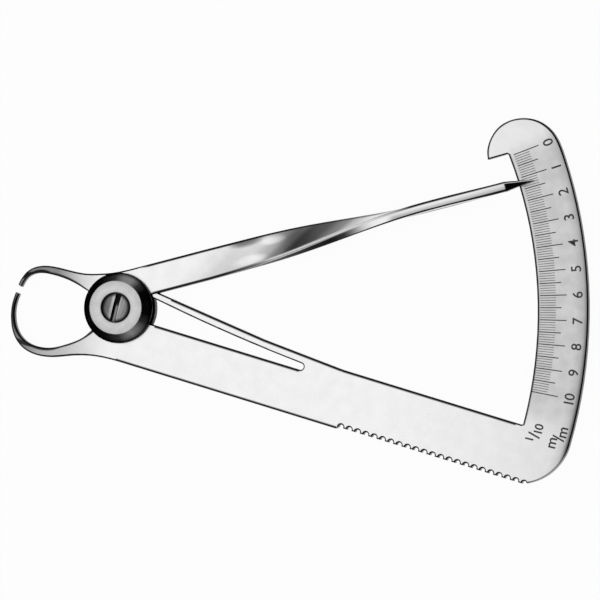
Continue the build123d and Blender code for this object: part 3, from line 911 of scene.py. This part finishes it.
# Dull steel of the pivot screw, brushed along its slot, with painted shade on its domed head and in
# its slot
screwSet = {
    "slotTurn": 75.5,
    "slotHalf": 0.5 * mm,
    "headShadeTones": [  # painted shade across the slot, from the left rim to the right
        (-2.4 * mm, 70),
        (-1.9 * mm, 104),
        (-1.2 * mm, 122),
        (-0.8 * mm, 176),
        (-0.5 * mm, 192),
        (0.5 * mm, 186),
        (0.8 * mm, 158),
        (1.6 * mm, 142),
        (2.3 * mm, 96),
    ],
    "slotShadeTones": [  # painted shade along the slot floor, from its lower end
        (-2.3 * mm, 120),
        (-1.2 * mm, 160),
        (0.2 * mm, 140),
        (0.5 * mm, 60),
        (0.9 * mm, 30),
    ],
    # painted shade, darker towards the rim of the head
    "rimShadeTones": [(1.9 * mm, 255), (2.15 * mm, 170), (2.4 * mm, 60)],
    # painted shade on the slot's walls
    "wallShadeLevel": 26,
    "leftShade": (-0.05 * mm, -0.2 * mm),
    "rightShade": (0.14 * mm, 0.26 * mm),
    "slotBlur": 0.03 * mm,
    "slotTop": (5.33 * mm, 5.27 * mm),
    "slotFloor": (5.0 * mm, 4.85 * mm),
    "wallLean": (0.9, 0.6),
    "hiddenTop": (4.05 * mm, 3.95 * mm),
    "hiddenLevel": 120,
    "grainFineness": 5000.0,
    "grainStretch": 0.12,
    "grainStrength": 0.4,
    "grainDepth": 0.002 * mm,
    "streaks": (0.35, 0.7),
    "streakDepth": 0.3,
    "roughness": (0.28, 0.45),
}


def makeScrewSteel():
    material, tree, shader = newMaterial("screwSteel", 1.0, 0.35)
    place = useGroup(tree, partPlace)
    normal = useGroup(tree, partNormal)
    c = math.cos(math.radians(screwSet["slotTurn"]))
    s = math.sin(math.radians(screwSet["slotTurn"]))

    def turned(first, second):
        x = calculate(tree, "MULTIPLY", place.outputs["X"], first)
        y = calculate(tree, "MULTIPLY", place.outputs["Y"], second)
        return calculate(tree, "ADD", x, y)

    alongSlot, acrossSlot = turned(c, s), turned(s, -c)
    # Painted shade across the domed head
    head = toneOver(tree, acrossSlot, screwSet["headShadeTones"])
    # Painted shade darkening the head towards its rim
    rim = toneOver(tree, place.outputs["Radius"], screwSet["rimShadeTones"])
    head = mixColour(tree, 1.0, head, rim, "MULTIPLY")
    # Painted shade along the slot floor
    floor = toneOver(tree, alongSlot, screwSet["slotShadeTones"])
    fromMiddle = calculate(tree, "ABSOLUTE", acrossSlot)
    leftSide = fade(tree, acrossSlot, *screwSet["leftShade"])
    rightSide = fade(tree, acrossSlot, *screwSet["rightShade"])
    sides = calculate(tree, "MAXIMUM", leftSide, rightSide)
    floor = mixColour(tree, sides, floor, grey(screwSet["wallShadeLevel"]))
    inSlot = both(
        tree,
        fade(tree, fromMiddle, screwSet["slotHalf"] + screwSet["slotBlur"], screwSet["slotHalf"]),
        fade(tree, place.outputs["Z"], *screwSet["slotTop"]),
    )
    deep = fade(tree, place.outputs["Z"], *screwSet["slotFloor"])
    colour = mixColour(tree, deep, head, floor)
    # Painted shade on the slot's walls
    wall = both(tree, inSlot, fade(tree, normal.outputs["Upright"], *screwSet["wallLean"]))
    colour = mixColour(tree, wall, colour, grey(screwSet["wallShadeLevel"]))
    hidden = fade(tree, place.outputs["Z"], *screwSet["hiddenTop"])
    colour = mixColour(tree, hidden, colour, grey(screwSet["hiddenLevel"]))
    grain = useGroup(
        tree,
        beltGrain,
        Turn=(0, 0, math.radians(-screwSet["slotTurn"])),
        Fineness=screwSet["grainFineness"],
        Stretch=screwSet["grainStretch"],
    )
    streak = fade(tree, grain.outputs[0], *screwSet["streaks"])
    depth = calculate(tree, "MULTIPLY", streak, screwSet["streakDepth"])
    colour = mixColour(tree, depth, colour, grey(0))
    tree.links.new(colour, shader.inputs["Base Color"])
    linkRoughness(tree, shader, grain.outputs[0], *screwSet["roughness"])
    addBump(tree, shader, grain.outputs[0], screwSet["grainStrength"], screwSet["grainDepth"])
    return material


# Dark fill of the engraved figures
fillSet = {"level": 64, "cloudSize": 2500.0, "cloudDepth": 0.5, "roughness": 0.6}


def makeFigureFill():
    material, tree, shader = newMaterial("figureFill", 0.0, fillSet["roughness"])
    size, depth = fillSet["cloudSize"], fillSet["cloudDepth"]
    fill = useGroup(tree, handling, Colour=grey(fillSet["level"]), Size=size, Depth=depth)
    tree.links.new(fill.outputs["Colour"], shader.inputs["Base Color"])
    return material


def giveMaterial(piece, material):
    piece.data.materials.clear()
    piece.data.materials.append(material)


plateSteel = makePlateSteel()
pointerSteel = makePointerSteel()
turnedSteel = makeDiscSteel()
screwSteel = makeScrewSteel()
figureFill = makeFigureFill()
for name, material in {
    "scale_arm": plateSteel,
    "leaf_spring": plateSteel,
    "pointer_arm": pointerSteel,
    "front_disc": turnedSteel,
    "rear_disc": turnedSteel,
    "pivot_screw": screwSteel,
    "pivot_bush": screwSteel,
    "hub_washer": screwSteel,
    "spring_washer": screwSteel,
}.items():
    giveMaterial(nodes[name], material)
print("materials made")

# The leaf spring runs from its root in the plate to its nose beside the pointer arm; its mesh is
# cut across at even steps and shaded smooth
springSet = {
    "turn": -23.5,
    "reach": 4.5 * mm,
    "level": 1.675 * mm,
    "cuts": (4.0 * mm, 32.0 * mm),
    "cutCount": 28,
    "bend": (25.5 * mm, 3.5 * mm),
    "sharpAngle": 40,
}


def springPoint(along, reach=0.0, level=0.0):
    turn = math.radians(springSet["turn"])
    c, s = math.cos(turn), math.sin(turn)
    return Vector((along * c - reach * s, along * s + reach * c, level))


springMesh = bpy.data.meshes.new("leafSpring")
build = bmesh.new()
build.from_mesh(nodes["leaf_spring"].data)
firstCut, lastCut = springSet["cuts"]
cutCount = springSet["cutCount"]
for index in range(cutCount):
    along = firstCut + (lastCut - firstCut) * index / (cutCount - 1)
    bmesh.ops.bisect_plane(
        build,
        geom=build.verts[:] + build.edges[:] + build.faces[:],
        plane_co=springPoint(along),
        plane_no=springPoint(1.0),
    )
bmesh.ops.triangulate(build, faces=build.faces[:])
for face in build.faces:
    face.smooth = True
build.to_mesh(springMesh)
build.free()
leafSpring = bpy.data.objects.new("leafSpring", springMesh)
leafSpring.matrix_world = nodes["leaf_spring"].matrix_world.copy()
bpy.context.scene.collection.objects.link(leafSpring)
springMesh.set_sharp_from_angle(angle=math.radians(springSet["sharpAngle"]))
giveMaterial(leafSpring, plateSteel)
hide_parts("leaf_spring")
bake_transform(leafSpring)
print("leaf spring made")

# Figures of the scale, with their tops towards the pivot
figureSet = {
    "height": 1.84 * mm,
    "radius": 81.65 * mm,
    "drop": 0.66 * mm,
    "zeroTurn": 20.7,
    "turnPerMillimetre": 3.172,
    "surface": 2.5 * mm,
    "lift": 0.008 * mm,
    "unitTurn": 76.0,
    "unitBoldness": 0.045 * mm,
    "units": {  # text, height and place of each figure of the unit, in millimetres
        "tenthOver": ("1", 1.5, (73.05, -23.19)),
        "tenthSlash": ("/", 2.2, (73.9, -22.55)),
        "tenthUnder": ("10", 1.55, (74.73, -21.39)),
        "unitOver": ("m", 1.9, (77.19, -23.93)),
        "unitSlash": ("/", 2.2, (78.2, -23.12)),
        "unitUnder": ("m", 1.9, (79.16, -22.15)),
    },
    "capShare": 0.73,
    "curveSteps": 6,
    "boldness": 0.032 * mm,
    "spacing": 0.86,
}


def makeFigure(name, text, height, centre, turnDegrees, boldness):
    curve = bpy.data.curves.new(name, "FONT")
    curve.body = text
    curve.size = height / figureSet["capShare"]
    curve.align_x = "CENTER"
    curve.resolution_u = figureSet["curveSteps"]
    curve.offset = boldness
    curve.space_character = figureSet["spacing"]
    source = bpy.data.objects.new(name + "Source", curve)
    bpy.context.scene.collection.objects.link(source)
    bpy.context.view_layer.update()
    evaluated = source.evaluated_get(bpy.context.evaluated_depsgraph_get())
    mesh = bpy.data.meshes.new_from_object(evaluated)
    bpy.data.objects.remove(source)
    xs = [v.co.x for v in mesh.vertices]
    ys = [v.co.y for v in mesh.vertices]
    middle = Vector(((min(xs) + max(xs)) / 2, (min(ys) + max(ys)) / 2, 0))
    place = (
        Matrix.Translation((centre[0], centre[1], figureSet["surface"] + figureSet["lift"]))
        @ Matrix.Rotation(math.radians(turnDegrees), 4, "Z")
        @ Matrix.Translation(-middle)
    )
    mesh.transform(place)
    piece = bpy.data.objects.new(name, mesh)
    bpy.context.scene.collection.objects.link(piece)
    giveMaterial(piece, figureFill)
    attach(piece, "scale_body")
    return piece


for count in range(11):
    bearing = figureSet["zeroTurn"] - count * figureSet["turnPerMillimetre"]
    radius = figureSet["radius"]
    centre = (
        radius * math.cos(math.radians(bearing)),
        radius * math.sin(math.radians(bearing)) - figureSet["drop"],
    )
    height, boldness = figureSet["height"], figureSet["boldness"]
    makeFigure(f"figure{count}", str(count), height, centre, bearing + 90, boldness)
for name, (text, height, (x, y)) in figureSet["units"].items():
    makeFigure(
        name, text, height * mm, (x * mm, y * mm), figureSet["unitTurn"], figureSet["unitBoldness"]
    )
print("figures made")

# The floor, the lamp and the pale surroundings
stageSet = {
    "floorSize": 8.0,
    "floorDrop": 0.2 * mm,
    "floorLevel": 243,
    "floorRoughness": 0.9,
    "floorGlow": 0.95,
    "lampSize": 0.5,
    "lampPlace": (-0.4, 0.35, 0.6),
    "lampPower": 0.3,
    "roomLevels": [  # from straight below, past the horizon at 0, to overhead
        (-1.0, 0.9),
        (0.0, 0.95),
        (0.15, 0.8),
        (0.32, 0.62),
        (0.55, 0.62),
        (0.8, 0.95),
        (1.0, 1.0),
    ],
}

floorMesh = bpy.data.meshes.new("floor")
build = bmesh.new()
half = stageSet["floorSize"] / 2
corners = [(-half, -half), (half, -half), (half, half), (-half, half)]
build.faces.new([build.verts.new((x, y, 0)) for x, y in corners])
build.to_mesh(floorMesh)
build.free()
floor = bpy.data.objects.new("floor", floorMesh)
bpy.context.scene.collection.objects.link(floor)
floor.location.z = -stageSet["floorDrop"]

floorPaint, tree, shader = newMaterial("floorPaint", 0.0, stageSet["floorRoughness"])
shader.inputs["Base Color"].default_value = grey(stageSet["floorLevel"])
shader.inputs["Specular IOR Level"].default_value = 0.0
glow = addNode(tree, "ShaderNodeEmission", {"Color": (1, 1, 1, 1), "Strength": 1.0})
ray = addNode(tree, "ShaderNodeLightPath")
cameraRay, glossyRay = ray.outputs["Is Camera Ray"], ray.outputs["Is Glossy Ray"]
seen = calculate(tree, "ADD", cameraRay, glossyRay, clamp=True)
seen = calculate(tree, "ADD", seen, ray.outputs["Is Transmission Ray"], clamp=True)
share = calculate(tree, "MULTIPLY", seen, stageSet["floorGlow"])
glowing = addNode(tree, "ShaderNodeMixShader")
tree.links.new(share, glowing.inputs[0])
tree.links.new(shader.outputs[0], glowing.inputs[1])
tree.links.new(glow.outputs[0], glowing.inputs[2])
output = next(node for node in tree.nodes if node.type == "OUTPUT_MATERIAL")
tree.links.new(glowing.outputs[0], output.inputs["Surface"])
giveMaterial(floor, floorPaint)

world = bpy.data.worlds.new("room")
bpy.context.scene.world = world
world.use_nodes = True
tree = world.node_tree
tree.nodes.clear()
place = addNode(tree, "ShaderNodeTexCoord")
split = addNode(tree, "ShaderNodeSeparateXYZ")
tree.links.new(place.outputs["Generated"], split.inputs[0])
background = addNode(tree, "ShaderNodeBackground", {"Strength": 1.0})
room = toneOver(tree, split.outputs["Z"], [(z, 255 * value) for z, value in stageSet["roomLevels"]])
tree.links.new(room, background.inputs["Color"])
output = addNode(tree, "ShaderNodeOutputWorld")
tree.links.new(background.outputs[0], output.inputs["Surface"])

lampData = bpy.data.lights.new("softLamp", "AREA")
lampData.shape = "SQUARE"
lampData.size = stageSet["lampSize"]
lampData.energy = stageSet["lampPower"]
lamp = bpy.data.objects.new("softLamp", lampData)
lamp.location = stageSet["lampPlace"]
lamp.rotation_euler = Vector(stageSet["lampPlace"]).to_track_quat("Z", "Y").to_euler()
lamp.visible_camera = False
bpy.context.scene.collection.objects.link(lamp)
bpy.context.scene.view_settings.view_transform = "Standard"
print("stage set")
